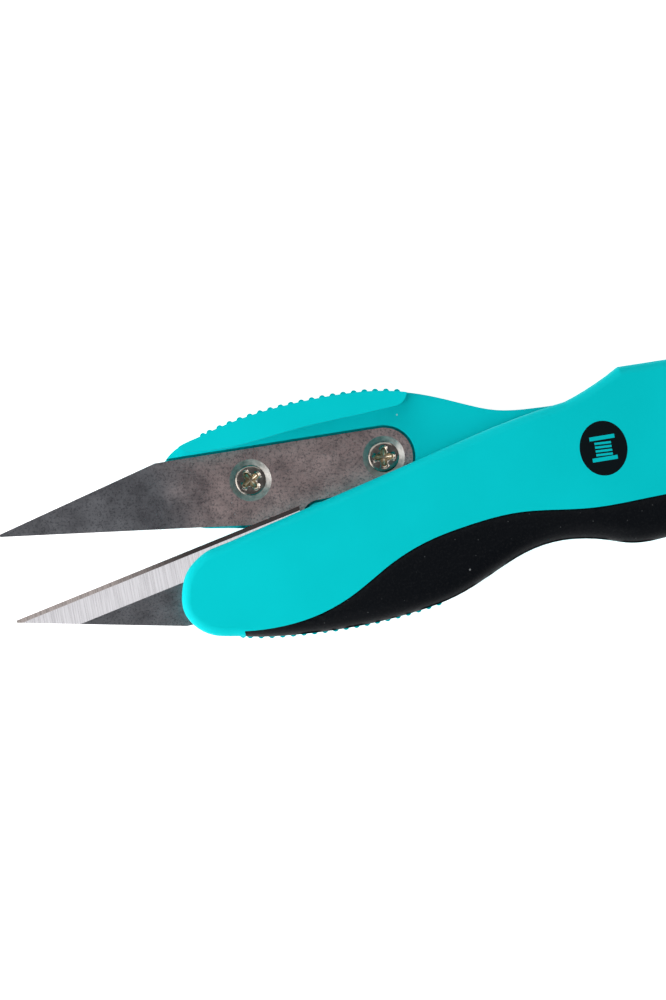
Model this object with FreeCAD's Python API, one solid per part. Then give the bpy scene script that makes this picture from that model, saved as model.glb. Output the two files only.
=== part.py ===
import FreeCAD, Part
import math
import os

# Thread snips: two moulded arms, each with a soft grip and a screwed-on steel blade,
# turning on one post at the butt and opened by a torsion spring.
# +X runs from the blade tips to the butt, +Y is the side of the back arm's finger pad,
# +Z is up through the thickness. The origin is under the middle of the whole object.
# Each half is modelled as the upper half in Z, and the back half is then turned half
# round about the long axis. Stations are distances from the blade tips. All in mm.

# Overall sizes
overall_length = 127.0
thickness = 15.0
butt_radius = 11.0
pivot_station = overall_length - butt_radius

# Levels through the thickness, for the front arm
mid_z = thickness / 2.0
web_gap = 0.3
web_inner_z = mid_z + web_gap / 2.0
face_edge_radius = 1.2

# What differs between the halves: the waist and the slope of the blade
front_half = {
    "outer_edge": [(30.5, -14.15), (38.9, -15.5), (47.0, -15.9), (55.6, -15.4), (60.5, -14.5),
                   (66.0, -12.45), (71.0, -10.5), (76.5, -9.8), (82.5, -10.95), (89.5, -12.25)],
    "edge_slope": 0.19,
    "spine_corner": (23.1, -11.3)}
back_half = {
    "outer_edge": [(30.5, -14.25), (38.9, -15.8), (47.0, -16.15), (55.6, -15.5), (60.5, -14.2),
                   (66.0, -11.85), (71.0, -9.75), (76.5, -8.95), (82.5, -9.1), (89.5, -11.2)],
    "edge_slope": 0.15,
    "spine_corner": (23.1, -11.75)}

# Closing: the tips meet, then pass each other by a little
tip_half_gap = 5.9
tip_pass_angle = 0.35
closing_angle = 2.0 * math.degrees(math.atan(tip_half_gap / pivot_station)) + tip_pass_angle

# Plan outline of an arm, as (station, y)
inner_edge_points = [(31.2, -0.95), (41.6, 1.3), (58.3, 4.9), (72.0, 7.8), (80.5, 8.95)]
shoulder_middle = (84.8, 10.45)
shoulder_corner = (88.6, 12.25)
nose_slope = -0.28
inner_edge_slope = 0.2
nose_points = [(26.8, -13.3), (24.4, -11.6), (23.2, -9.2), (23.5, -6.3), (25.0, -3.5), (27.6, -1.75)]

# Finger pad: a bar along the outer edge that reaches across the blades, ridged outside
pad_inner_points = [(27.8, -12.5), (33.6, -11.9), (43.7, -12.6), (53.2, -12.85), (57.6, -13.0)]
pad_nose_end = [(26.9, -13.1), (27.0, -14.6)]
pad_waist_end = [(59.0, -13.8), (59.3, -15.6)]
pad_reach_z = 2.5
pad_root = 0.5
ridge_count = 20
ridge_radius = 0.45
ridge_sink = 0.15
ridge_end = 0.35
ridge_first_station = 30.0
ridge_last_station = 58.0

# Soft grip: a skin let into the outer face and wrapped round the outer edge
grip_skin = 1.2
grip_wall = 1.0
grip_lip = 1.2
grip_line_points = [(30.9, -13.5), (36.0, -13.85), (41.2, -13.3), (46.8, -11.4), (52.6, -8.3),
                    (58.3, -6.2), (64.0, -5.2), (71.3, -4.8), (80.7, -6.1), (91.9, -6.3),
                    (101.0, -7.2), (110.5, -11.9)]

# Blade
blade_thickness = 1.3
blade_gap = 0.1
tip_width = 0.35
heel_station = 41.6
tang_radius = 4.05
notch_radius = 2.6
primary_bevel = 3.8
secondary_bevel = 0.6
secondary_bevel_depth = 0.3
edge_flat = 0.02
pocket_clearance = 0.35
blade_inner_z = mid_z + blade_gap / 2.0
blade_outer_z = blade_inner_z + blade_thickness

# Blade screws
blade_screws = [(35.7, 6.85), (54.5, 6.4)]
screw_radius = 1.25
screw_head_radius = screw_radius + 1.05
screw_head_sink = 0.62
screw_length = 5.0
countersink_radius = screw_head_radius + screw_head_sink
screw_hole_clearance = 0.05
screw_tip_room = 1.0
cone_clearance = 0.04
recess_span = 3.0
recess_wing = 0.9
recess_depth = 0.75

# Pivot
post_radius = 2.5
pivot_clearance = 0.05
pivot_head_radius = post_radius + 1.7
pivot_head_thickness = 1.2
pivot_head_sink = 0.15
head_side_clearance = 0.3
clamp_screw_radius = 1.25
post_bore_radius = clamp_screw_radius + pivot_clearance
clamp_screw_length = 7.0
clamp_screw_room = 0.5
thrust_clearance = 0.05
hub_sink = 0.35

# Torsion spring round the pivot
wire_radius = 0.5
coil_radius = 5.3
coil_turns = 4.5
coil_rise = 5.4
leg_length = 13.0
hub_radius = coil_radius - wire_radius - 0.7
chamber_radius = coil_radius + wire_radius + 0.6
chamber_floor = 0.6
leg_clearance = 0.15

# Stops: a peg on each arm's inner face in a curved slot in the other arm
stop_reach = 22.5
stop_offset = 5.0
stop_radius = 1.5
stop_height = 2.4
stop_tip_clearance = 0.4
stop_root = 0.5
stop_side_clearance = 0.3
stop_end_clearance = 0.15


def at(station, y, z=0.0):
    return FreeCAD.Vector(station - overall_length / 2.0, y, z)


UP = FreeCAD.Vector(0, 0, 1)
ALONG = FreeCAD.Vector(1, 0, 0)
pivot = at(pivot_station, 0.0)


def points(pairs, inset=0.0):
    return [at(station, y + inset) for station, y in pairs]


def spline(pts, start_tangent=None, end_tangent=None):
    curve = Part.BSplineCurve()
    if start_tangent is None:
        curve.interpolate(pts)
    else:
        curve.interpolate(Points=pts, InitialTangent=start_tangent, FinalTangent=end_tangent)
    return curve.toShape()


def prism(edges, low, high):
    wire = Part.Wire(Part.__sortEdges__(edges))
    face = Part.Face(wire)
    face.translate(FreeCAD.Vector(0, 0, low))
    return face.extrude(FreeCAD.Vector(0, 0, high - low))


def disc(radius, centre, low, high):
    base = FreeCAD.Vector(centre.x, centre.y, low)
    return Part.makeCylinder(radius, high - low, base, UP)


def cone(low_radius, high_radius, centre, low, high):
    base = FreeCAD.Vector(centre.x, centre.y, low)
    return Part.makeCone(low_radius, high_radius, high - low, base, UP)


def tangent_point(corner, centre, radius, side):
    # Where a line from corner touches the circle, on the +1 or -1 side in Y.
    reach = corner.sub(centre)
    distance = reach.Length
    heading = math.atan2(reach.y, reach.x)
    turn = math.acos(radius / distance)
    angle = heading - side * turn
    return FreeCAD.Vector(centre.x + radius * math.cos(angle), centre.y + radius * math.sin(angle), 0)


def flip(shape):
    # The back arm's copy of a front arm piece.
    turned = shape.copy()
    turned.rotate(FreeCAD.Vector(0, 0, mid_z), ALONG, 180)
    return turned


def outer_edge(half, inset=0.0):
    # The edge under the grip, from the nose to where the rear straight begins.
    pts = points(half["outer_edge"], inset)
    rear = tangent_point(pts[-1], pivot, butt_radius, -1)
    return spline(pts, FreeCAD.Vector(1, nose_slope, 0), rear.sub(pts[-1]).normalize())


def arm_outline(half):
    inner = spline(points(inner_edge_points))
    inner_end = at(*inner_edge_points[-1])
    corner = at(*shoulder_corner)
    shoulder = Part.Arc(inner_end, at(*shoulder_middle), corner).toShape()
    upper_touch = tangent_point(corner, pivot, butt_radius, 1)
    outer = outer_edge(half)
    outer_start = at(*half["outer_edge"][0])
    outer_end = at(*half["outer_edge"][-1])
    lower_touch = tangent_point(outer_end, pivot, butt_radius, -1)
    butt = Part.Arc(upper_touch, at(overall_length, 0), lower_touch).toShape()
    nose = spline([outer_start] + points(nose_points) + [at(*inner_edge_points[0])],
                  FreeCAD.Vector(-1, -nose_slope, 0), FreeCAD.Vector(1, inner_edge_slope, 0))
    straights = [Part.LineSegment(corner, upper_touch).toShape(),
                 Part.LineSegment(lower_touch, outer_end).toShape()]
    return [inner, shoulder, butt, outer, nose] + straights


def arm_body(half):
    body = prism(arm_outline(half), web_inner_z, thickness)
    rim = [e for e in body.Edges if abs(e.BoundBox.ZMin - thickness) < 1e-6]
    return body.makeFillet(face_edge_radius, rim)


def grip_zone():
    line = spline(points(grip_line_points))
    first = at(*grip_line_points[0])
    last = at(*grip_line_points[-1])
    outside_y = -2.0 * butt_radius
    outside_first = FreeCAD.Vector(first.x, outside_y, 0)
    outside_last = FreeCAD.Vector(last.x, outside_y, 0)
    edges = [line,
             Part.LineSegment(last, outside_last).toShape(),
             Part.LineSegment(outside_last, outside_first).toShape(),
             Part.LineSegment(outside_first, first).toShape()]
    return prism(edges, web_inner_z + grip_lip, thickness)


def grip_bed(half):
    # What the grip is moulded over: the arm inside the skin and the side wall.
    edge = outer_edge(half, grip_wall)
    first, last = points([half["outer_edge"][0], half["outer_edge"][-1]], grip_wall)
    rear = tangent_point(last, pivot, butt_radius - grip_wall, -1)
    top_first = FreeCAD.Vector(first.x, butt_radius, 0)
    top_last = FreeCAD.Vector(rear.x, butt_radius, 0)
    edges = [edge,
             Part.LineSegment(last, rear).toShape(),
             Part.LineSegment(rear, top_last).toShape(),
             Part.LineSegment(top_last, top_first).toShape(),
             Part.LineSegment(top_first, first).toShape()]
    return prism(edges, web_inner_z, thickness - grip_skin)


def finger_pad(half):
    first = at(*pad_inner_points[0])
    last = at(*pad_inner_points[-1])
    nose_end = Part.Arc(first, at(*pad_nose_end[0]), at(*pad_nose_end[1])).toShape()
    waist_end = Part.Arc(last, at(*pad_waist_end[0]), at(*pad_waist_end[1])).toShape()
    outside_first = at(pad_nose_end[1][0], -2.0 * butt_radius)
    outside_last = at(pad_waist_end[1][0], -2.0 * butt_radius)
    edges = [spline(points(pad_inner_points)), nose_end, waist_end,
             Part.LineSegment(at(*pad_nose_end[1]), outside_first).toShape(),
             Part.LineSegment(outside_first, outside_last).toShape(),
             Part.LineSegment(outside_last, at(*pad_waist_end[1])).toShape()]
    top = web_inner_z + pad_root
    return prism(arm_outline(half), pad_reach_z, top).common(prism(edges, pad_reach_z, top))


def ridges(half):
    line = outer_edge(half, ridge_sink)
    step = (ridge_last_station - ridge_first_station) / (ridge_count - 1)
    rods = []
    for index in range(ridge_count):
        station = ridge_first_station + index * step
        cross = Part.LineSegment(at(station, -2.0 * butt_radius), at(station, 0)).toShape()
        foot = line.distToShape(cross)[1][0][0]
        rods.append(disc(ridge_radius, foot, pad_reach_z + ridge_end, web_inner_z + grip_lip))
    return rods


def edge_y(half, station):
    return half["edge_slope"] * station - tip_half_gap


def blade_edges(half, clearance=0.0):
    # Plan of a blade: blunt tip, spine, tang, notch, heel, cutting edge.
    rear = at(blade_screws[1][0], -blade_screws[1][1])
    tip = at(0.0, -tip_half_gap)
    tip_back = at(0.0, -tip_half_gap - tip_width)
    spine = at(*half["spine_corner"])
    back_touch = tangent_point(spine, rear, tang_radius, -1)
    tang_side = FreeCAD.Vector(rear.x, rear.y + tang_radius, 0)
    notch_end = at(heel_station + notch_radius, -(blade_screws[1][1] - tang_radius))
    notch_middle_turn = notch_radius * (1.0 - math.sqrt(0.5))
    notch_middle = FreeCAD.Vector(notch_end.x - notch_radius + notch_middle_turn,
                                  notch_end.y + notch_middle_turn, 0)
    notch_start = FreeCAD.Vector(notch_end.x - notch_radius, notch_end.y + notch_radius, 0)
    heel = at(heel_station, edge_y(half, heel_station))
    rear_end = FreeCAD.Vector(rear.x + tang_radius, rear.y, 0)
    edges = [Part.LineSegment(tip, tip_back).toShape(),
             Part.LineSegment(tip_back, spine).toShape(),
             Part.LineSegment(spine, back_touch).toShape(),
             Part.Arc(back_touch, rear_end, tang_side).toShape(),
             Part.LineSegment(tang_side, notch_end).toShape(),
             Part.Arc(notch_end, notch_middle, notch_start).toShape(),
             Part.LineSegment(notch_start, heel).toShape(),
             Part.LineSegment(heel, tip).toShape()]
    if clearance == 0.0:
        return edges
    wire = Part.Wire(Part.__sortEdges__(edges))
    return Part.Face(wire).makeOffset2D(clearance, join=2).OuterWire.Edges


def bevel_cut(half, width, low, high):
    # Wedge that thins the blade from height high at width to height low at the edge.
    run = FreeCAD.Vector(1.0, half["edge_slope"], 0).normalize()
    inward = FreeCAD.Vector(run.y, -run.x, 0)
    tip = at(0.0, -tip_half_gap)
    start = tip.sub(run * (2.0 * width))
    over = blade_thickness
    rise = (high - low) / width
    corners = [start - inward * over + UP * (low - rise * over),
               start + inward * width + UP * high,
               start + inward * width + UP * (high + over),
               start - inward * over + UP * (high + over)]
    wedge = Part.Face(Part.makePolygon(corners + corners[:1]))
    return wedge.extrude(run * (heel_station + 4.0 * width))


def blade(half):
    body = prism(blade_edges(half), blade_inner_z, blade_outer_z)
    edge_z = blade_inner_z + edge_flat
    knee_z = blade_inner_z + secondary_bevel_depth
    body = body.cut(bevel_cut(half, secondary_bevel, edge_z, knee_z))
    rise = (blade_outer_z - knee_z) / (primary_bevel - secondary_bevel)
    body = body.cut(bevel_cut(half, primary_bevel, knee_z - rise * secondary_bevel, blade_outer_z))
    for station, y in blade_screws:
        low_radius = countersink_radius
        high_radius = countersink_radius - blade_thickness
        body = body.cut(cone(low_radius, high_radius, at(station, -y), blade_inner_z, blade_outer_z))
    return body


def screw(station, y):
    # Countersunk screw that points up into the front arm, its head a little below the blade's face.
    centre = at(station, -y)
    head_z = blade_inner_z + screw_head_sink - cone_clearance
    cone_height = screw_head_radius - screw_radius
    body = cone(screw_head_radius, screw_radius, centre, head_z, head_z + cone_height)
    body = body.fuse(disc(screw_radius, centre, head_z + cone_height, head_z + screw_length))
    for turn in (0, 90):
        wing = Part.makeBox(recess_span, recess_wing, recess_depth)
        wing.translate(FreeCAD.Vector(-recess_span / 2.0, -recess_wing / 2.0, head_z))
        wing.rotate(FreeCAD.Vector(0, 0, 0), UP, turn)
        wing.translate(FreeCAD.Vector(centre.x, centre.y, 0))
        body = body.cut(wing)
    return body.removeSplitter()


def screw_hole(station, y):
    centre = at(station, -y)
    radius = screw_radius + screw_hole_clearance
    mouth = countersink_radius - blade_thickness + screw_hole_clearance
    top = blade_inner_z + screw_length + screw_tip_room
    hole = disc(radius, centre, web_inner_z, top)
    return hole.fuse(cone(mouth, radius, centre, blade_outer_z, blade_outer_z + mouth - radius))


def stop_peg():
    centre = at(pivot_station - stop_reach, -stop_offset)
    return disc(stop_radius, centre, web_inner_z - stop_height, web_inner_z + stop_root)


def stop_slot():
    # Room for the back arm's peg, which swings this way as the arms close.
    radius = stop_radius + stop_side_clearance
    start = at(pivot_station - stop_reach, stop_offset)
    top = web_inner_z + stop_height - web_gap + stop_tip_clearance
    trim = stop_side_clearance - stop_end_clearance
    arm = start.sub(pivot)
    trim_angle = math.degrees(trim / arm.Length)
    slot = None
    steps = 8
    for index in range(steps + 1):
        angle = trim_angle + (closing_angle - 2.0 * trim_angle) * index / steps
        centre = FreeCAD.Rotation(UP, angle).multVec(arm).add(pivot)
        bit = disc(radius, centre, web_inner_z, top)
        slot = bit if slot is None else slot.fuse(bit)
    return slot.removeSplitter()


def spring_chamber():
    depth = coil_rise / 2.0 + wire_radius - web_gap / 2.0 + chamber_floor
    top = web_inner_z + depth
    ring = disc(chamber_radius, pivot, web_inner_z, top).cut(disc(hub_radius, pivot, web_inner_z, top))
    half_width = wire_radius + leg_clearance
    channel = Part.makeBox(leg_length + half_width, 2.0 * half_width, top - web_inner_z,
                           FreeCAD.Vector(pivot.x - leg_length - half_width,
                                          -coil_radius - half_width, web_inner_z))
    return ring.fuse(channel)


def core_and_grip(half):
    body = arm_body(half)
    grip = body.common(grip_zone()).cut(grip_bed(half))
    core = body.cut(grip)
    core = core.fuse([finger_pad(half), stop_peg()] + ridges(half))
    core = core.cut(prism(blade_edges(half, pocket_clearance), web_inner_z, blade_outer_z))
    for station, y in blade_screws:
        core = core.cut(screw_hole(station, y))
    core = core.cut(spring_chamber())
    core = core.cut(disc(chamber_radius, pivot, web_inner_z, web_inner_z + hub_sink))
    core = core.cut(stop_slot())
    core = core.cut(disc(post_radius + pivot_clearance, pivot, web_inner_z, thickness))
    recess_z = thickness - pivot_head_sink - pivot_head_thickness - thrust_clearance
    recess = disc(pivot_head_radius + head_side_clearance, pivot, recess_z, thickness)
    core = core.cut(recess)
    return core.removeSplitter(), grip.cut(recess)


def pivot_post():
    head_low = pivot_head_sink
    head_high = pivot_head_sink + pivot_head_thickness
    top = thickness - head_high
    body = disc(pivot_head_radius, pivot, head_low, head_high)
    body = body.fuse(disc(post_radius, pivot, head_high, top))
    bore_low = top - clamp_screw_length - clamp_screw_room
    return body.cut(disc(post_bore_radius, pivot, bore_low, top)).removeSplitter()


def clamp_screw():
    head_low = thickness - pivot_head_sink - pivot_head_thickness
    head_high = thickness - pivot_head_sink
    body = disc(pivot_head_radius, pivot, head_low, head_high)
    body = body.fuse(disc(clamp_screw_radius, pivot, head_low - clamp_screw_length, head_low))
    for turn in (0, 90):
        wing = Part.makeBox(recess_span, recess_wing, recess_depth)
        wing.translate(FreeCAD.Vector(-recess_span / 2.0, -recess_wing / 2.0, head_high - recess_depth))
        wing.rotate(FreeCAD.Vector(0, 0, 0), UP, turn)
        wing.translate(FreeCAD.Vector(pivot.x, pivot.y, 0))
        body = body.cut(wing)
    return body.removeSplitter()


def thrust_washer():
    low = mid_z - web_gap / 2.0 - hub_sink
    high = mid_z + web_gap / 2.0 + hub_sink - thrust_clearance
    ring = disc(hub_radius, pivot, low, high)
    return ring.cut(disc(post_radius + pivot_clearance, pivot, low, high))


def torsion_spring():
    # Wound clockwise going up, with one straight leg along each arm.
    low = mid_z - coil_rise / 2.0
    helix = Part.makeHelix(coil_rise / coil_turns, coil_rise, coil_radius, 0.0, True)
    helix.rotate(FreeCAD.Vector(0, 0, 0), UP, 90)
    helix.translate(FreeCAD.Vector(pivot.x, pivot.y, low))
    first_bend = FreeCAD.Vector(pivot.x, pivot.y + coil_radius, low)
    last_bend = FreeCAD.Vector(pivot.x, pivot.y - coil_radius, low + coil_rise)
    first_end = first_bend.sub(ALONG * leg_length)
    last_end = last_bend.sub(ALONG * leg_length)
    path = Part.Wire([Part.LineSegment(first_end, first_bend).toShape()] + helix.Edges
                     + [Part.LineSegment(last_bend, last_end).toShape()])
    profile = Part.Wire(Part.makeCircle(wire_radius, first_end, ALONG))
    return path.makePipeShell([profile], True, True)


def save(name, shape):
    shape.exportStep("parts/" + name + ".step")


def main():
    os.makedirs("parts", exist_ok=True)
    screws = Part.makeCompound([screw(station, y) for station, y in blade_screws])
    front_core, front_grip = core_and_grip(front_half)
    back_core, back_grip = core_and_grip(back_half)
    save("front_arm", front_core)
    save("front_grip", front_grip)
    save("lower_blade", blade(front_half))
    save("lower_blade_screws", screws)
    save("back_arm", flip(back_core))
    save("back_grip", flip(back_grip))
    save("upper_blade", flip(blade(back_half)))
    save("upper_blade_screws", flip(screws))
    save("pivot_post", pivot_post())
    save("pivot_screw", clamp_screw())
    save("thrust_washer", thrust_washer())
    save("torsion_spring", torsion_spring())


main()
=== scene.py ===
import math

import bmesh
import bpy
from mathutils import Matrix, Vector
from mathutils.geometry import delaunay_2d_cdt


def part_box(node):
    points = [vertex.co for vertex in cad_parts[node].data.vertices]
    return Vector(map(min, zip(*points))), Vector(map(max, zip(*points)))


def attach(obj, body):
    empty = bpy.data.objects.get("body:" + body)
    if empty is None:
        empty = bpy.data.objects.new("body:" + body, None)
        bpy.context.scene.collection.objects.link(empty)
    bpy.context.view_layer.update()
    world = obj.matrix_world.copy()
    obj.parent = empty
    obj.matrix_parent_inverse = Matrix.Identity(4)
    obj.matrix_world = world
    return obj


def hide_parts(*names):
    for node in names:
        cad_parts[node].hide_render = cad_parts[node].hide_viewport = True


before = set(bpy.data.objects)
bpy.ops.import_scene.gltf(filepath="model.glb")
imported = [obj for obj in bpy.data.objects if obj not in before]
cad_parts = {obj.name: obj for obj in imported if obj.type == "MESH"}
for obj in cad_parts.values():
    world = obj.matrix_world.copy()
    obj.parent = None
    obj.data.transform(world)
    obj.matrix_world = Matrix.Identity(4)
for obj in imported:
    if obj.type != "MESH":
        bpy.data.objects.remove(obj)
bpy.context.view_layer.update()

# Thread snips lying open on a white table, seen from straight above.
# Lengths are metres in the part's own frame, and millimetres are written times MM.
MM = 0.001
scene = bpy.context.scene

# Reading the CAD meshes. LEVEL is how close two heights count as one. UPRIGHT and FACE_ON are the
# most and the least that the normals of an upright and of a flat face have along Z.
WELD = 0.002 * MM
LEVEL = 0.02 * MM
UPRIGHT = 0.02
FACE_ON = 0.9999

# Blades. A tilt is the least and the most that a face's normal has along Z.
EDGE_BREAK = 0.03 * MM
GROUND_TILT = (0.80, 0.995)
BEVEL_SPLIT = math.radians(21)
CONE_TILT = (0.3, 0.9)
COUNTERSINK_REACH = 1.0 * MM
BEVEL, EDGE, SUNK = 1, 2, 3

# Grips
ARM_EDGE_RADIUS = 1.2 * MM
GRIP_ROUND = 2.6 * MM
SEAM_GROOVE = 0.30 * MM
FILL_STEP = 0.5 * MM
TRIANGLES_INSIDE = 1

# Blade screws, their heights counted from the head's rim. The thread is in plain millimetres.
HEAD_RADIUS = 2.3 * MM
HEAD_SINK = 0.10 * MM
CROSS_CORE = 0.70 * MM
CROSS_REACH = 1.48 * MM
WING_SHARPNESS = 0.9
WALL_HEIGHTS = (-1.05 * MM, 0.06 * MM)
FLOOR_HEIGHTS = (-1.1 * MM, -0.5 * MM)
FLOOR_REACH = 0.8 * MM
THREAD_CREST = 1.25
THREAD_ROOT = 1.0
THREAD_PITCH = 0.6
THREAD_TOP = -1.6
THREAD_END = -4.5

# Printed mark, its half sizes in plain millimetres
MARK_CENTRE = Vector((20.95, 1.6)) * MM
MARK_TURN = math.radians(-2)
MARK_HALF_WIDTH = 3.3
MARK_HALF_HEIGHT = 3.8
PRINT_SKIN = 0.012 * MM
PRINT_SINK = 0.05 * MM
DISC_SIDES = 96

# Where the blades change along X: cool to warm on the flat, and on the edge from clean near the tip to a
# painted dark reflection towards the handle
WARM_FROM, WARM_TO = -38 * MM, -27 * MM
DARK_REFLECTION_FROM, DARK_REFLECTION_TO = -54 * MM, -37 * MM

# Marks in the steel: how fine they are along each axis, and how far they lean in radians
GRIND_STRETCH = (5200.0, 90.0, 90.0)
GRIND_LEAN = -0.19
SCRATCH_STRETCH = (300.0, 6500.0, 300.0)
SCRATCH_LEAN = 0.12
ROLLED_STRETCH = (260.0, 5200.0, 260.0)
ROLLED_LEAN = 0.05

# Colours, linear
TEAL = (0.0, 0.625, 0.665, 1.0)
TEAL_SHADE = (0.0, 0.585, 0.62, 1.0)
GRIP_BLACK = (0.0010, 0.0020, 0.0036, 1.0)
GRIP_WORN = (0.0024, 0.0034, 0.0050, 1.0)
GRIP_GRAIN = (0.0085, 0.0095, 0.0110, 1.0)
STEEL_COOL = (0.30, 0.305, 0.325, 1.0)
STEEL_WARM = (0.68, 0.53, 0.51, 1.0)
STEEL_STAIN = (0.09, 0.09, 0.10, 1.0)
GROUND_STEEL = (0.58, 0.57, 0.59, 1.0)
HONED_STEEL = (0.34, 0.30, 0.285, 1.0)
# Painted dark reflection on the edge towards the handle, also the colour of the edge's darker grinding
# marks
HONED_DARK_REFLECTION_AND_MARKS = (0.035, 0.03, 0.03, 1.0)
SUNK_STEEL = (0.60, 0.57, 0.54, 1.0)
NICKEL = (0.33, 0.295, 0.26, 1.0)
# Painted glint: the cross recesses get a brighter, brassier metal than the screw heads
BRASSY_GLINT = (0.58, 0.49, 0.37, 1.0)
PIVOT_STEEL = (0.60, 0.60, 0.61, 1.0)
SPRING_STEEL = (0.36, 0.37, 0.40, 1.0)
NYLON = (0.80, 0.80, 0.76, 1.0)
PRINT_BLACK = (0.002, 0.006, 0.008, 1.0)
DUST = (0.75, 0.80, 0.80, 1.0)

# The share of dust cells that stay bare
BARE_CELLS = 0.80


# ---- Shader groups, each built once ----

def new_group(name, inputs, outputs):
    """A shader node group with float inputs {name: default} and outputs {name: socket type}."""
    group = bpy.data.node_groups.new(name, "ShaderNodeTree")
    for label, default in inputs.items():
        socket = group.interface.new_socket(label, in_out="INPUT", socket_type="NodeSocketFloat")
        socket.default_value = default
    for label, kind in outputs.items():
        group.interface.new_socket(label, in_out="OUTPUT", socket_type=kind)
    first = group.nodes.new("NodeGroupInput")
    last = group.nodes.new("NodeGroupOutput")
    coords = group.nodes.new("ShaderNodeTexCoord")
    return group, first, last, coords


def noise(tree, coords, scale, detail=3.0, rough=0.5, stretch=None):
    """A noise on object coordinates. scale is in lumps per metre. stretch is how fine it is along each
    axis, and its lean about Z."""
    node = tree.nodes.new("ShaderNodeTexNoise")
    node.inputs["Scale"].default_value = scale
    node.inputs["Detail"].default_value = detail
    node.inputs["Roughness"].default_value = rough
    if stretch is None:
        tree.links.new(coords.outputs["Object"], node.inputs["Vector"])
    else:
        turn = tree.nodes.new("ShaderNodeMapping")
        turn.inputs["Scale"].default_value = stretch[0]
        turn.inputs["Rotation"].default_value = (0, 0, stretch[1])
        tree.links.new(coords.outputs["Object"], turn.inputs["Vector"])
        tree.links.new(turn.outputs["Vector"], node.inputs["Vector"])
    return node.outputs["Fac"]


def arithmetic(tree, operation, first, second):
    """A Math node on two values, each a number or another node's output."""
    node = tree.nodes.new("ShaderNodeMath")
    node.operation = operation
    for index, value in enumerate((first, second)):
        if isinstance(value, (int, float)):
            node.inputs[index].default_value = value
        else:
            tree.links.new(value, node.inputs[index])
    return node.outputs[0]


def between(tree, value, low, high, out_low=0.0, out_high=1.0):
    """value from low..high mapped smoothly to out_low..out_high."""
    node = tree.nodes.new("ShaderNodeMapRange")
    node.interpolation_type = "SMOOTHSTEP"
    for label, number in (("From Min", low), ("From Max", high), ("To Min", out_low), ("To Max", out_high)):
        node.inputs[label].default_value = number
    tree.links.new(value, node.inputs["Value"])
    return node.outputs["Result"]


def specks_group():
    """Sparse dust specks: a mask from 0 to 1."""
    group, first, last, coords = new_group("dust_specks", {"Cells": 420.0, "Size": 0.10, "Amount": 0.5},
                                           {"Mask": "NodeSocketFloat"})
    cells = group.nodes.new("ShaderNodeTexVoronoi")
    cells.inputs["Randomness"].default_value = 1.0
    group.links.new(coords.outputs["Object"], cells.inputs["Vector"])
    group.links.new(first.outputs["Cells"], cells.inputs["Scale"])
    near = arithmetic(group, "LESS_THAN", cells.outputs["Distance"], first.outputs["Size"])
    chance = group.nodes.new("ShaderNodeSeparateColor")
    group.links.new(cells.outputs["Color"], chance.inputs["Color"])
    few = arithmetic(group, "GREATER_THAN", chance.outputs[0], BARE_CELLS)
    mask = arithmetic(group, "MULTIPLY", near, few)
    group.links.new(arithmetic(group, "MULTIPLY", mask, first.outputs["Amount"]), last.inputs["Mask"])
    return group


def moulded_group():
    """The skin of a moulding: a height for bump and a slow tone from 0 to 1."""
    group, first, last, coords = new_group("moulded_skin", {"Grain": 1.0, "Lumps": 1.0},
                                           {"Height": "NodeSocketFloat", "Tone": "NodeSocketFloat"})
    fine = noise(group, coords, 6500.0, 2.0, 0.6)
    lumps = noise(group, coords, 420.0, 3.0, 0.5)
    tone = noise(group, coords, 55.0, 3.0, 0.5)
    height = arithmetic(group, "ADD", arithmetic(group, "MULTIPLY", fine, first.outputs["Grain"]),
                        arithmetic(group, "MULTIPLY", lumps, first.outputs["Lumps"]))
    group.links.new(height, last.inputs["Height"])
    group.links.new(between(group, tone, 0.3, 0.7), last.inputs["Tone"])
    return group


def grinding_group():
    """The grinding wheel's marks across a blade, as streaks from 0 to 1 times a depth."""
    group, first, last, coords = new_group("grinding_marks", {"Depth": 1.0}, {"Streaks": "NodeSocketFloat"})
    streaks = noise(group, coords, 1.0, 4.0, 0.65, (GRIND_STRETCH, GRIND_LEAN))
    group.links.new(arithmetic(group, "MULTIPLY", streaks, first.outputs["Depth"]), last.inputs["Streaks"])
    return group


SPECKS = specks_group()
SKIN = moulded_group()
GRINDING = grinding_group()


# ---- Materials ----

def new_material(name, colour, rough, metallic=0.0, specular=0.5):
    """A material with one Principled shader, for its maker to add grain and wear to."""
    material = bpy.data.materials.new(name)
    material.use_nodes = True
    tree = material.node_tree
    tree.nodes.clear()
    out = tree.nodes.new("ShaderNodeOutputMaterial")
    shader = tree.nodes.new("ShaderNodeBsdfPrincipled")
    shader.inputs["Base Color"].default_value = colour
    shader.inputs["Roughness"].default_value = rough
    shader.inputs["Metallic"].default_value = metallic
    shader.inputs["Specular IOR Level"].default_value = specular
    tree.links.new(shader.outputs["BSDF"], out.inputs["Surface"])
    coords = tree.nodes.new("ShaderNodeTexCoord")
    return material, tree, shader, coords


def place_group(tree, group, **values):
    """One of the shader groups, placed in a material with these values."""
    node = tree.nodes.new("ShaderNodeGroup")
    node.node_tree = group
    for label, number in values.items():
        node.inputs[label].default_value = number
    return node


def darker(colour, share):
    """A colour at this share of its brightness."""
    return tuple(channel * share for channel in colour[:3]) + (1.0,)


def blend_colours(tree, factor, first, second):
    """first blended into second by a mask. Each is a colour or another node's output."""
    node = tree.nodes.new("ShaderNodeMix")
    node.data_type = "RGBA"
    tree.links.new(factor, node.inputs["Factor"])
    # Sockets 6 and 7, and output 2, are the colour ones
    for socket, value in ((node.inputs[6], first), (node.inputs[7], second)):
        if isinstance(value, tuple):
            socket.default_value = value
        else:
            tree.links.new(value, socket)
    return node.outputs[2]


def bump(tree, shader, height, strength, depth):
    """Relief in the light only. depth is in metres."""
    node = tree.nodes.new("ShaderNodeBump")
    node.inputs["Strength"].default_value = strength
    node.inputs["Distance"].default_value = depth
    tree.links.new(height, node.inputs["Height"])
    tree.links.new(node.outputs["Normal"], shader.inputs["Normal"])


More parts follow.
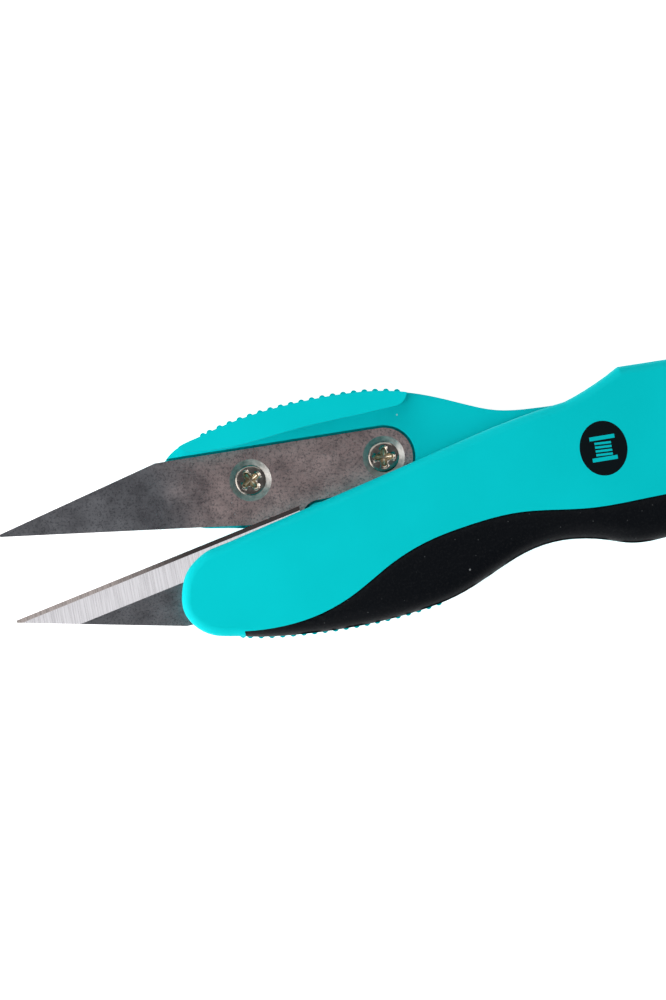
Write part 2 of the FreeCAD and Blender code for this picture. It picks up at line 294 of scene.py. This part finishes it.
def teal_plastic():
    """The arms' satin plastic, with a slow change of tone and a few specks of dust."""
    material, tree, shader, _ = new_material("teal_plastic", TEAL, 0.48, specular=0.05)
    skin = place_group(tree, SKIN, Grain=0.6, Lumps=0.35)
    colour = blend_colours(tree, skin.outputs["Tone"], TEAL_SHADE, TEAL)
    specks = place_group(tree, SPECKS, Cells=330.0, Size=0.045, Amount=0.55)
    tree.links.new(blend_colours(tree, specks.outputs["Mask"], colour, DUST), shader.inputs["Base Color"])
    tree.links.new(between(tree, skin.outputs["Tone"], 0.0, 1.0, 0.46, 0.54), shader.inputs["Roughness"])
    bump(tree, shader, skin.outputs["Height"], 0.20, 0.00004)
    return material


def black_grip():
    """The grips' soft black, with a fine pale grain and dust in two sizes."""
    material, tree, shader, coords = new_material("black_grip", GRIP_BLACK, 0.46, specular=0.08)
    skin = place_group(tree, SKIN, Grain=1.0, Lumps=0.5)
    colour = blend_colours(tree, skin.outputs["Tone"], GRIP_BLACK, GRIP_WORN)
    grain = between(tree, noise(tree, coords, 3000.0, 3.0, 0.8), 0.50, 0.66, 0.0, 0.7)
    colour = blend_colours(tree, grain, colour, GRIP_GRAIN)
    for cells, size, amount in ((420.0, 0.07, 0.25), (1300.0, 0.11, 0.06)):
        specks = place_group(tree, SPECKS, Cells=cells, Size=size, Amount=amount)
        colour = blend_colours(tree, specks.outputs["Mask"], colour, DUST)
    tree.links.new(colour, shader.inputs["Base Color"])
    bump(tree, shader, skin.outputs["Height"], 0.6, 0.00009)
    return material


def blade_steel():
    """Flat of the blade: cool and stained at the tip, warm towards the screws, with fine scratches."""
    material, tree, shader, coords = new_material("blade_steel", STEEL_COOL, 0.30, 1.0)
    split = tree.nodes.new("ShaderNodeSeparateXYZ")
    tree.links.new(coords.outputs["Object"], split.inputs["Vector"])
    cloud = noise(tree, coords, 150.0, 5.0, 0.62)
    wander = arithmetic(tree, "MULTIPLY", cloud, 8.0 * MM)
    warm = between(tree, arithmetic(tree, "ADD", split.outputs["X"], wander), WARM_FROM, WARM_TO)
    colour = blend_colours(tree, warm, STEEL_COOL, STEEL_WARM)
    cloudy = between(tree, noise(tree, coords, 420.0, 6.0, 0.72), 0.40, 0.72, 0.0, 0.45)
    colour = blend_colours(tree, cloudy, colour, STEEL_STAIN)
    pitted = between(tree, noise(tree, coords, 3400.0, 3.0, 0.75), 0.45, 0.69, 0.0, 0.68)
    colour = blend_colours(tree, pitted, colour, STEEL_STAIN)
    scratches = noise(tree, coords, 1.0, 4.0, 0.7, (SCRATCH_STRETCH, SCRATCH_LEAN))
    bright = between(tree, scratches, 0.60, 0.74, 0.0, 0.35)
    colour = blend_colours(tree, bright, colour, GROUND_STEEL)
    specks = place_group(tree, SPECKS, Cells=520.0, Size=0.05, Amount=0.6)
    tree.links.new(blend_colours(tree, specks.outputs["Mask"], colour, DUST), shader.inputs["Base Color"])
    tree.links.new(between(tree, cloud, 0.3, 0.7, 0.26, 0.38), shader.inputs["Roughness"])
    marks = noise(tree, coords, 1.0, 4.0, 0.6, (ROLLED_STRETCH, ROLLED_LEAN))
    bump(tree, shader, marks, 0.25, 0.00002)
    return material


def ground_steel(name, colour, rough):
    """A ground bevel, with the wheel's marks across it."""
    material, tree, shader, _ = new_material(name, colour, rough, 1.0)
    marks = place_group(tree, GRINDING, Depth=1.0).outputs["Streaks"]
    streaked = blend_colours(tree, between(tree, marks, 0.35, 0.62), darker(colour, 0.66), colour)
    tree.links.new(streaked, shader.inputs["Base Color"])
    tree.links.new(between(tree, marks, 0.3, 0.7, rough - 0.06, rough + 0.10), shader.inputs["Roughness"])
    bump(tree, shader, marks, 0.30, 0.00003)
    return material


def honed_steel():
    """The narrow cutting edge: bright near the tip, with a painted brownish dark reflection towards the
    handle and darker grinding marks.
    """
    material, tree, shader, coords = new_material("edge_steel", HONED_STEEL, 0.34, 1.0)
    split = tree.nodes.new("ShaderNodeSeparateXYZ")
    tree.links.new(coords.outputs["Object"], split.inputs["Vector"])
    # Painted dark reflection: the honed edge goes dark towards the handle, beside the arm
    painted_dark_reflection = between(tree, split.outputs["X"], DARK_REFLECTION_FROM, DARK_REFLECTION_TO)
    colour = blend_colours(tree, painted_dark_reflection, HONED_STEEL, HONED_DARK_REFLECTION_AND_MARKS)
    marks = place_group(tree, GRINDING, Depth=1.0).outputs["Streaks"]
    tree.links.new(blend_colours(tree, between(tree, marks, 0.4, 0.6, 0.0, 0.35), colour, HONED_DARK_REFLECTION_AND_MARKS),
                   shader.inputs["Base Color"])
    bump(tree, shader, marks, 0.25, 0.00002)
    return material


def turned_metal(name, colour, rough):
    """Plated or turned metal with faint wear."""
    material, tree, shader, coords = new_material(name, colour, rough, 1.0)
    wear = noise(tree, coords, 1500.0, 4.0, 0.6)
    worn = blend_colours(tree, between(tree, wear, 0.35, 0.65), darker(colour, 0.72), colour)
    tree.links.new(worn, shader.inputs["Base Color"])
    tree.links.new(between(tree, wear, 0.3, 0.7, rough - 0.05, rough + 0.08), shader.inputs["Roughness"])
    bump(tree, shader, wear, 0.12, 0.00002)
    return material


def plain_moulding(name, colour, rough, specular=0.5):
    """A small moulding or a print, even but for its grain."""
    material, tree, shader, _ = new_material(name, colour, rough, specular=specular)
    skin = place_group(tree, SKIN, Grain=0.5, Lumps=0.4)
    toned = blend_colours(tree, skin.outputs["Tone"], darker(colour, 0.8), colour)
    tree.links.new(toned, shader.inputs["Base Color"])
    bump(tree, shader, skin.outputs["Height"], 0.2, 0.00003)
    return material


teal = teal_plastic()
grip = black_grip()
steel = blade_steel()
bevel_steel = ground_steel("bevel_steel", GROUND_STEEL, 0.30)
edge_steel = honed_steel()
sunk_steel = turned_metal("countersink_steel", SUNK_STEEL, 0.48)
nickel = turned_metal("screw_nickel", NICKEL, 0.17)
# Painted glint: a brighter brassy metal for the cross recesses
recess_glint_metal = turned_metal("recess_glint_metal", BRASSY_GLINT, 0.30)
pivot_metal = turned_metal("pivot_steel", PIVOT_STEEL, 0.26)
spring_metal = turned_metal("spring_steel", SPRING_STEEL, 0.32)
nylon = plain_moulding("washer_nylon", NYLON, 0.35)
print_black = plain_moulding("print_black", PRINT_BLACK, 0.50, 0.08)
print_teal = plain_moulding("print_teal", TEAL, 0.50, 0.05)


def dress(node, material):
    """A CAD node keeps its shape and gets this finish."""
    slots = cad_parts[node].data.materials
    slots.clear()
    slots.append(material)


for name, material in (("front_arm", teal), ("back_arm", teal), ("pivot_post", pivot_metal),
                       ("pivot_screw", pivot_metal), ("torsion_spring", spring_metal),
                       ("thrust_washer", nylon)):
    dress(name, material)


# ---- Making and placing meshes ----

def link(name, mesh, body, slot, *nodes):
    """Puts a finished mesh in the scene on its body, standing for these CAD nodes."""
    piece = bpy.data.objects.new(name, mesh)
    scene.collection.objects.link(piece)
    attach(piece, body)
    if nodes:
        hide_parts(*nodes)


def applied(holder):
    """The evaluated mesh of an object with modifiers, whose object is then removed."""
    bpy.context.view_layer.update()
    mesh = bpy.data.meshes.new_from_object(holder.evaluated_get(bpy.context.evaluated_depsgraph_get()))
    bpy.data.objects.remove(holder)
    return mesh


def hold(mesh):
    """An object that carries a mesh while its modifiers work."""
    holder = bpy.data.objects.new("holder", mesh)
    scene.collection.objects.link(holder)
    return holder


def welded(node):
    """A bmesh of a CAD node with its loose triangles merged."""
    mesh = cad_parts[node].data.copy()
    if "custom_normal" in mesh.attributes:
        mesh.attributes.remove(mesh.attributes["custom_normal"])
    work = bmesh.new()
    work.from_mesh(mesh)
    bpy.data.meshes.remove(mesh)
    bmesh.ops.remove_doubles(work, verts=work.verts, dist=WELD)
    work.normal_update()
    return work


def finished_mesh(name, work, materials, sharp):
    """A smooth-shaded mesh, creased wherever its faces turn by more than sharp degrees."""
    mesh = bpy.data.meshes.new(name)
    work.to_mesh(mesh)
    work.free()
    for material in materials:
        mesh.materials.append(material)
    mesh.shade_smooth()
    mesh.set_sharp_from_angle(angle=math.radians(sharp))
    return mesh


# ---- Blades ----

def blade(name, node, screws, body, facing):
    """A blade as flat, ground bevel, honed edge and countersinks. facing is where its bevel looks in Z."""
    work = welded(node)
    bmesh.ops.dissolve_limit(work, angle_limit=math.radians(0.4), verts=work.verts, edges=work.edges)
    low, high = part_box(screws)
    middle_y = (low[1] + high[1]) / 2.0
    sunk_reach = (high[1] - low[1]) / 2.0 + COUNTERSINK_REACH
    for face in work.faces:
        tilt = face.normal.z * facing
        near_screws = abs(face.calc_center_median().y - middle_y) < sunk_reach
        if near_screws and CONE_TILT[0] < -tilt < CONE_TILT[1]:
            face.material_index = SUNK
        elif GROUND_TILT[0] < tilt < GROUND_TILT[1]:
            face.material_index = BEVEL if tilt > math.cos(BEVEL_SPLIT) else EDGE
    holder = hold(finished_mesh(name, work, (steel, bevel_steel, edge_steel, sunk_steel), 12))
    rounding = holder.modifiers.new("rounding", "BEVEL")
    rounding.width = EDGE_BREAK
    rounding.segments = 2
    rounding.limit_method = "ANGLE"
    rounding.angle_limit = math.radians(28)
    link(name, applied(holder), body, "blade_steel", node)


blade("upper_blade_ground", "upper_blade", "upper_blade_screws", "back_half", -1)
blade("lower_blade_ground", "lower_blade", "lower_blade_screws", "front_half", 1)


# ---- Grips ----

def flat_distance(point, a, b):
    """How far a point lies from the line a to b, looking along Z."""
    along = b - a
    share = max(0.0, min(1.0, (point - a).dot(along) / max(along.length_squared, 1e-18)))
    return (point - a - along * share).length


def flat_ends(edges):
    """The two ends of each edge, looking along Z."""
    return [(edge.verts[0].co.xy.copy(), edge.verts[1].co.xy.copy()) for edge in edges]


def inside(point, edges):
    """Whether a point lies inside a closed outline given as pairs of ends."""
    crossings = 0
    for a, b in edges:
        if (a.y > point.y) != (b.y > point.y):
            if a.x + (point.y - a.y) / (b.y - a.y) * (b.x - a.x) > point.x:
                crossings += 1
    return crossings % 2 == 1


def quarter_round(distance, radius):
    """How far a rounded edge has dropped at this distance in from it."""
    if distance >= radius:
        return 0.0
    return radius - math.sqrt(max(0.0, radius ** 2 - (radius - distance) ** 2))


def refill_face(work, face_z, facing):
    """Fills a grip's flat face again with small triangles, and returns its rim as pairs of ends."""
    flat = [face for face in work.faces if face.normal.z * facing > FACE_ON
            and all(abs(corner.co.z * facing - face_z) < WELD for corner in face.verts)]
    chosen = set(flat)
    rim = [edge for edge in work.edges if sum(face in chosen for face in edge.link_faces) == 1]
    corners = list(dict.fromkeys(corner for edge in rim for corner in edge.verts))
    order = {corner: index for index, corner in enumerate(corners)}
    ends = flat_ends(rim)
    constraints = [(order[edge.verts[0]], order[edge.verts[1]]) for edge in rim]
    bmesh.ops.delete(work, geom=flat, context="FACES")
    points = [corner.co.xy.copy() for corner in corners]
    across = [point.x / FILL_STEP for point in points]
    along = [point.y / FILL_STEP for point in points]
    columns = range(int(min(across)), int(max(across)) + 1)
    rows = range(int(min(along)) - 1, int(max(along)) + 2)
    for column in columns:
        for row in rows:
            point = Vector(((column + 0.5 * (row % 2)) * FILL_STEP, row * FILL_STEP))
            near = [(a, b) for a, b in ends if flat_distance(point, a, b) < FILL_STEP * 0.6]
            if not near and inside(point, ends):
                points.append(point)
    filled, _, faces, origins, _, _ = delaunay_2d_cdt(points, constraints, [], TRIANGLES_INSIDE, 1e-9)
    made = []
    for point, origin in zip(filled, origins):
        old = [index for index in origin if index < len(corners)]
        made.append(corners[old[0]] if old else work.verts.new((point.x, point.y, face_z * facing)))
    for face in faces:
        ring = [made[index] for index in (face if facing > 0 else reversed(face))]
        if len(set(ring)) == len(ring):
            work.faces.new(ring)
    return ends


def rounded_grip(name, node, body, facing):
    """The grip, its outer edge rolled over and a fine groove where it meets the arm's face."""
    work = welded(node)
    face_z = max(corner.co.z * facing for corner in work.verts)
    rim = refill_face(work, face_z, facing)
    work.normal_update()
    shoulder = [edge for edge in work.edges if len(edge.link_faces) == 2
                and abs(edge.verts[0].co.z * facing - face_z + ARM_EDGE_RADIUS) < LEVEL
                and abs(edge.verts[1].co.z * facing - face_z + ARM_EDGE_RADIUS) < LEVEL
                and max(face.normal.z * facing for face in edge.link_faces) > UPRIGHT
                and min(abs(face.normal.z) for face in edge.link_faces) < UPRIGHT]
    outer = flat_ends(shoulder)
    seam = [(a, b) for a, b in rim
            if min(flat_distance((a + b) / 2, c, d) for c, d in outer) > 1.5 * ARM_EDGE_RADIUS]
    skin = {corner for face in work.faces if face.normal.z * facing > UPRIGHT for corner in face.verts}
    for corner in skin:
        if corner.co.z * facing < face_z - ARM_EDGE_RADIUS - LEVEL:
            continue
        here = corner.co.xy
        from_outer = min(flat_distance(here, a, b) for a, b in outer)
        from_seam = min(flat_distance(here, a, b) for a, b in seam)
        drop = quarter_round(from_outer, GRIP_ROUND) + quarter_round(from_seam, SEAM_GROOVE)
        corner.co.z = facing * min(corner.co.z * facing, face_z - drop)
    link(name, finished_mesh(name, work, (grip,), 40), body, "black_grip", node)


rounded_grip("front_grip_rounded", "front_grip", "front_half", 1)
rounded_grip("back_grip_rounded", "back_grip", "back_half", -1)


# ---- Blade screws ----

def spun(name, profile, turns=72):
    """A closed turned shape from (radius, height) pairs that start and end on the axis."""
    work = bmesh.new()
    for number in range(turns):
        angle = 2.0 * math.pi * number / turns
        for radius, height in profile:
            work.verts.new((radius * math.cos(angle), radius * math.sin(angle), height))
    work.verts.ensure_lookup_table()
    count = len(profile)
    for number in range(turns):
        here, there = number * count, (number + 1) % turns * count
        for step in range(count - 1):
            work.faces.new([work.verts[index] for index in
                            (here + step, here + step + 1, there + step + 1, there + step)])
    bmesh.ops.remove_doubles(work, verts=work.verts, dist=WELD)
    bmesh.ops.dissolve_degenerate(work, edges=work.edges, dist=WELD)
    bmesh.ops.recalc_face_normals(work, faces=work.faces)
    return finished_mesh(name, work, (), 30)


def cross_plug(name, turns=96):
    """The shape that a cross driver leaves: four rounded wings that narrow as they go down."""
    levels = ((0.6, 1.0), (0.0, 1.0), (-0.05, 0.90), (-0.55, 0.74), (-0.80, 0.48), (-0.98, 0.20))
    work = bmesh.new()
    loops = []
    for depth, scale in levels:
        loop = []
        for number in range(turns):
            angle = 2.0 * math.pi * number / turns
            wing = (math.cos(2.0 * angle) ** 2) ** WING_SHARPNESS
            radius = scale * (CROSS_CORE + (CROSS_REACH - CROSS_CORE) * wing)
            loop.append(work.verts.new((radius * math.cos(angle), radius * math.sin(angle), depth * MM)))
        loops.append(loop)
    for upper, lower in zip(loops, loops[1:]):
        for number in range(turns):
            after = (number + 1) % turns
            work.faces.new((upper[number], lower[number], lower[after], upper[after]))
    work.faces.new(loops[0])
    work.faces.new(list(reversed(loops[-1])))
    bmesh.ops.recalc_face_normals(work, faces=work.faces)
    return finished_mesh(name, work, (), 30)


def in_recess(face):
    """Whether a face of the screw belongs to the walls or the floor of its cross."""
    reach, height = face.center.xy.length, face.center.z
    steep = abs(face.normal.z) < 0.98
    wall = steep and WALL_HEIGHTS[0] < height < WALL_HEIGHTS[1] and reach < CROSS_REACH * 0.98
    floor = FLOOR_HEIGHTS[0] < height < FLOOR_HEIGHTS[1] and reach < FLOOR_REACH
    return wall or floor


def screw_pattern():
    """One countersunk blade screw, its head's rim at the origin, with its recess marked."""
    profile = [(0.0, 0.04), (1.0, 0.04), (1.8, 0.02), (1.98, -0.02), (2.12, -0.08), (2.19, -0.18),
               (2.2, -0.28), (THREAD_CREST, -1.33)]
    turn = THREAD_TOP
    while turn > THREAD_END:
        profile += [(THREAD_CREST, turn), (THREAD_ROOT, turn - 0.2), (THREAD_ROOT, turn - 0.3),
                    (THREAD_CREST, turn - 0.5)]
        turn -= THREAD_PITCH
    profile += [(THREAD_ROOT, -4.8), (0.7, -5.0), (0.0, -5.0)]
    body = hold(spun("screw_body", [(radius * MM, height * MM) for radius, height in profile]))
    plug = hold(cross_plug("cross_plug"))
    cut = body.modifiers.new("cross", "BOOLEAN")
    cut.operation = "DIFFERENCE"
    cut.solver = "EXACT"
    cut.object = plug
    mesh = applied(body)
    bpy.data.objects.remove(plug)
    mark = mesh.attributes.new("in_recess", "BOOLEAN", "FACE")
    for face in mesh.polygons:
        mark.data[face.index].value = in_recess(face)
    return mesh


def screw_row_tree():
    """Places screws along a step, each turned on a little further than the last."""
    tree = bpy.data.node_groups.new("screw_row", "GeometryNodeTree")
    kinds = (("Screw", "NodeSocketObject"), ("First Screw", "NodeSocketVector"),
             ("Step", "NodeSocketVector"), ("Count", "NodeSocketInt"), ("Lean", "NodeSocketFloat"),
             ("First Turn", "NodeSocketFloat"), ("Turn Step", "NodeSocketFloat"),
             ("Head Finish", "NodeSocketMaterial"), ("Recess Glint", "NodeSocketMaterial"))
    for label, kind in kinds:
        tree.interface.new_socket(label, in_out="INPUT", socket_type=kind)
    tree.interface.new_socket("Geometry", in_out="OUTPUT", socket_type="NodeSocketGeometry")
    first, last = tree.nodes.new("NodeGroupInput"), tree.nodes.new("NodeGroupOutput")
    line = tree.nodes.new("GeometryNodeMeshLine")
    line.mode = "OFFSET"
    tree.links.new(first.outputs["Count"], line.inputs["Count"])
    tree.links.new(first.outputs["First Screw"], line.inputs["Start Location"])
    tree.links.new(first.outputs["Step"], line.inputs["Offset"])
    index = tree.nodes.new("GeometryNodeInputIndex")
    turn = tree.nodes.new("ShaderNodeMath")
    turn.operation = "MULTIPLY_ADD"
    tree.links.new(index.outputs[0], turn.inputs[0])
    tree.links.new(first.outputs["Turn Step"], turn.inputs[1])
    tree.links.new(first.outputs["First Turn"], turn.inputs[2])
    angles = tree.nodes.new("ShaderNodeCombineXYZ")
    tree.links.new(first.outputs["Lean"], angles.inputs["X"])
    tree.links.new(turn.outputs[0], angles.inputs["Z"])
    pattern = tree.nodes.new("GeometryNodeObjectInfo")
    tree.links.new(first.outputs["Screw"], pattern.inputs["Object"])
    place = tree.nodes.new("GeometryNodeInstanceOnPoints")
    tree.links.new(line.outputs["Mesh"], place.inputs["Points"])
    tree.links.new(pattern.outputs["Geometry"], place.inputs["Instance"])
    tree.links.new(angles.outputs[0], place.inputs["Rotation"])
    real = tree.nodes.new("GeometryNodeRealizeInstances")
    tree.links.new(place.outputs["Instances"], real.inputs["Geometry"])
    heads = tree.nodes.new("GeometryNodeSetMaterial")
    tree.links.new(real.outputs["Geometry"], heads.inputs["Geometry"])
    tree.links.new(first.outputs["Head Finish"], heads.inputs["Material"])
    marked = tree.nodes.new("GeometryNodeInputNamedAttribute")
    marked.data_type = "BOOLEAN"
    marked.inputs["Name"].default_value = "in_recess"
    # The recesses' walls and floor get the painted glint metal
    recesses = tree.nodes.new("GeometryNodeSetMaterial")
    tree.links.new(heads.outputs["Geometry"], recesses.inputs["Geometry"])
    tree.links.new(marked.outputs["Attribute"], recesses.inputs["Selection"])
    tree.links.new(first.outputs["Recess Glint"], recesses.inputs["Material"])
    tree.links.new(recesses.outputs["Geometry"], last.inputs["Geometry"])
    return tree


SCREW = bpy.data.objects.new("screw_pattern", screw_pattern())
SCREW_ROW = screw_row_tree()


def screw_row(name, node, body, facing, first_turn, turn_step):
    """Both screws of a blade. facing is where their heads look in Z, and turns are in radians."""
    low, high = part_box(node)
    head_z = high[2] if facing > 0 else low[2]
    side = 1 if low[1] > 0 else -1
    outer_y = (high[1] if side > 0 else low[1]) - side * HEAD_RADIUS
    inner_y = (low[1] if side > 0 else high[1]) + side * HEAD_RADIUS
    start = Vector((low[0] + HEAD_RADIUS, outer_y, head_z - facing * HEAD_SINK))
    step = Vector((high[0] - HEAD_RADIUS - start.x, inner_y - outer_y, 0.0))
    holder = hold(bpy.data.meshes.new(name))
    row = holder.modifiers.new("row", "NODES")
    row.node_group = SCREW_ROW
    values = {"Screw": SCREW, "First Screw": start, "Step": step, "Count": 2,
              "Lean": 0.0 if facing > 0 else math.pi, "First Turn": first_turn, "Turn Step": turn_step,
              "Head Finish": nickel, "Recess Glint": recess_glint_metal}
    for item in SCREW_ROW.interface.items_tree:
        if item.in_out == "INPUT":
            row[item.identifier] = values[item.name]
    mesh = applied(holder)
    mesh.name = name
    link(name, mesh, body, "screw_nickel", node)


screw_row("upper_blade_screw_pair", "upper_blade_screws", "back_half", 1, 0.5, -0.62)
screw_row("lower_blade_screw_pair", "lower_blade_screws", "front_half", -1, 0.9, 0.4)


# ---- Printed mark: a plain disc with a reel of thread on it ----

def thin_plate(work, outline, low, high, material_index):
    """A closed plate between two heights, from an outline that runs anticlockwise."""
    bottom = [work.verts.new((x, y, low)) for x, y in outline]
    top = [work.verts.new((x, y, high)) for x, y in outline]
    faces = [work.faces.new(top), work.faces.new(list(reversed(bottom)))]
    for number in range(len(outline)):
        after = (number + 1) % len(outline)
        faces.append(work.faces.new((bottom[number], bottom[after], top[after], top[number])))
    for face in faces:
        face.material_index = material_index


def thread_mark(name, node, body):
    """The mark lies on the arm's face, turned the way the face is read."""
    face_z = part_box(node)[1][2]
    work = bmesh.new()

    def placed(u, v):
        turn_x, turn_y = math.cos(MARK_TURN), math.sin(MARK_TURN)
        x, y = u * turn_x - v * turn_y, u * turn_y + v * turn_x
        return MARK_CENTRE.x + x * MM, MARK_CENTRE.y + y * MM

    disc = [placed(MARK_HALF_WIDTH * math.cos(a), MARK_HALF_HEIGHT * math.sin(a))
            for a in (2.0 * math.pi * number / DISC_SIDES for number in range(DISC_SIDES))]
    thin_plate(work, disc, face_z - PRINT_SINK, face_z + PRINT_SKIN, 0)
    bars = [[(-1.75, 1.75), (-1.75, 1.2), (1.75, 1.2), (1.75, 1.75)],
            [(-1.75, -1.2), (-1.75, -1.75), (1.75, -1.75), (1.75, -1.2)]]
    for number in range(4):
        low = -0.98 + 0.53 * number
        bars.append([(-1.15, low), (1.15, low - 0.10), (1.15, low + 0.22), (-1.15, low + 0.32)])
    for bar in bars:
        thin_plate(work, [placed(u, v) for u, v in bar], face_z, face_z + 2.0 * PRINT_SKIN, 1)
    bmesh.ops.recalc_face_normals(work, faces=work.faces)
    link(name, finished_mesh(name, work, (print_black, print_teal), 30), body, "black_grip")


thread_mark("thread_mark", "front_arm", "front_half")


# ---- Camera, light and table ----

VIEW_CENTRE = Vector((-17.1, 1.9, 7.5)) * MM
VIEW_HEIGHT = 139.0 * MM
ROLL = math.radians(11.3)
CAMERA_REACH = 1.2
TABLE_HALF = 2.0
TABLE_WHITE = (0.85, 0.85, 0.85, 1.0)
TABLE_GLOW = 0.75
ROOM_GREY = (0.20, 0.20, 0.21, 1.0)
right = Vector((math.cos(ROLL), -math.sin(ROLL), 0.0))
up = Vector((math.sin(ROLL), math.cos(ROLL), 0.0))
back = Vector((0.0, 0.0, 1.0))

camera_data = bpy.data.cameras.new("camera")
camera_data.sensor_fit = "VERTICAL"
camera_data.angle = 2.0 * math.atan(VIEW_HEIGHT / 2.0 / CAMERA_REACH)
camera_data.clip_start = 0.01
camera = bpy.data.objects.new("camera", camera_data)
scene.collection.objects.link(camera)
turned = Matrix((right, up, back)).transposed().to_4x4()
camera.matrix_world = Matrix.Translation(VIEW_CENTRE + back * CAMERA_REACH) @ turned
scene.camera = camera
scene.view_settings.view_transform = "Standard"

table_mesh = bpy.data.meshes.new("table")
corners = [(-1, -1), (1, -1), (1, 1), (-1, 1)]
table_mesh.from_pydata([(x * TABLE_HALF, y * TABLE_HALF, 0.0) for x, y in corners], [], [(0, 1, 2, 3)])
table_material, _, table_shader, _ = new_material("white_table", TABLE_WHITE, 0.6)
table_shader.inputs["Emission Color"].default_value = (1.0, 1.0, 1.0, 1.0)
table_shader.inputs["Emission Strength"].default_value = TABLE_GLOW
table_mesh.materials.append(table_material)
table = bpy.data.objects.new("table", table_mesh)
scene.collection.objects.link(table)

world = bpy.data.worlds.new("studio")
world.use_nodes = True
world.node_tree.nodes["Background"].inputs["Color"].default_value = ROOM_GREY
scene.world = world


def softbox(name, direction, reach, size, power):
    """A rectangular light off the camera's axis. direction is along the view's right, up and back,
    reach and size are in metres and power is in watts."""
    data = bpy.data.lights.new(name, "AREA")
    data.shape = "RECTANGLE"
    data.size, data.size_y = size
    data.energy = power
    light = bpy.data.objects.new(name, data)
    scene.collection.objects.link(light)
    away = (right * direction[0] + up * direction[1] + back * direction[2]).normalized()
    light.location = VIEW_CENTRE + away * reach
    light.rotation_euler = away.to_track_quat("Z", "Y").to_euler()


softbox("upper_box", (-0.22, 0.60, 0.76), 0.7, (0.84, 0.48), 1.75)
softbox("lower_box", (-0.42, -0.70, 0.58), 0.5, (0.60, 0.24), 1.45)
softbox("left_box", (-0.86, -0.22, 0.46), 0.40, (0.24, 0.46), 1.15)
